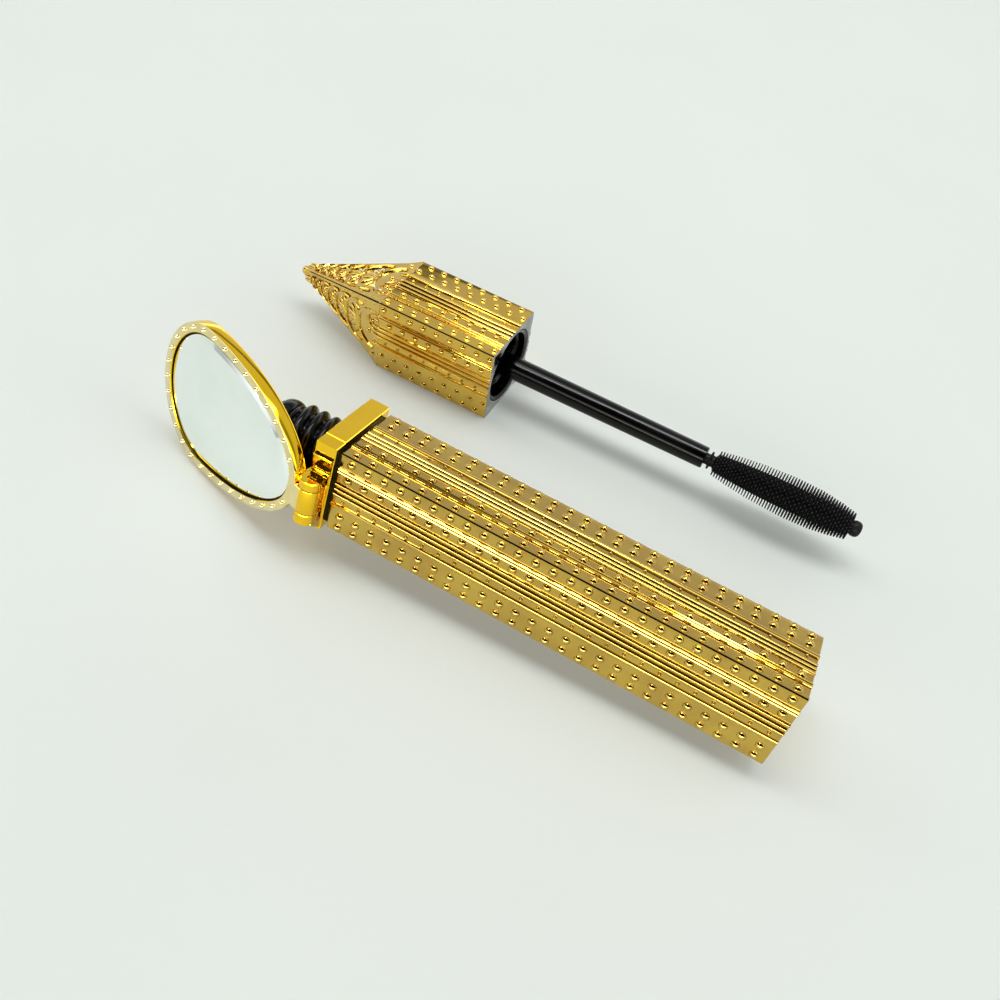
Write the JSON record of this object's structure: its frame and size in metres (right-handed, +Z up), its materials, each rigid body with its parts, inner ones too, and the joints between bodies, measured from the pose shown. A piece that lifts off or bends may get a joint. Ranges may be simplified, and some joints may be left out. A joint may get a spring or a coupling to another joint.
{
  "type": "mascara tube",
  "caption": "Square gilt mascara with a hinged egg-shaped mirror on its collar and a pointed screw cap that carries the wand and brush, laid open.",
  "frame": {"origin": "on the table under the middle of the object's box", "axes": "+X from the collar to the base of the tube, +Y from the tube across to the cap, +Z up from the table"},
  "size_m": [0.1242, 0.0664, 0.0286],
  "materials": {
    "gilt_abs": "electroplated gold on ABS, mirror gloss",
    "black_pp": "polished black polypropylene",
    "wiper_ldpe": "soft black polyethylene",
    "pin_steel": "plain wire",
    "pad_foam": "black double-sided foam tape",
    "mirror_glass": "silvered float glass, polished edge",
    "liner_pe": "foamed polyethylene",
    "brush_pbt": "moulded, satin",
    "bristle_tpe": "moulded elastomer pins"
  },
  "bodies": {
    "tube": {"outer_sleeve": "gilt_abs", "base_plug": "gilt_abs", "inner_bottle": "black_pp", "neck_wiper": "wiper_ldpe", "collar": "gilt_abs", "hinge_pin": "pin_steel"},
    "mirror": {"mirror_frame": "gilt_abs", "mirror_pad": "pad_foam", "mirror_glass": "mirror_glass"},
    "liner": {"cap_liner": "liner_pe"},
    "cap": {"cap_shell": "gilt_abs", "inner_cap": "black_pp", "wand_stem": "black_pp", "brush_core": "brush_pbt", "brush_bristles": "bristle_tpe"}
  },
  "joints": [
    {"name": "mirror_swing", "type": "hinge", "parent": "tube", "child": "mirror", "pos_m": [-0.02259, -0.02969, 0.01429], "axis": [0.0351, 0.2487, 0.9679], "range_deg": [0, 175]},
    {"name": "cap_draw", "type": "slide", "parent": "tube", "child": "liner", "axis": [0.9999, -0.0157, 0], "range_m": [0, 0.0742]},
    {"name": "cap_turn", "type": "hinge", "parent": "liner", "child": "cap", "pos_m": [-0.0121, 0.02442, 0.0084], "axis": [0.9999, -0.0157, 0], "range_deg": [0, 540]}
  ]
}
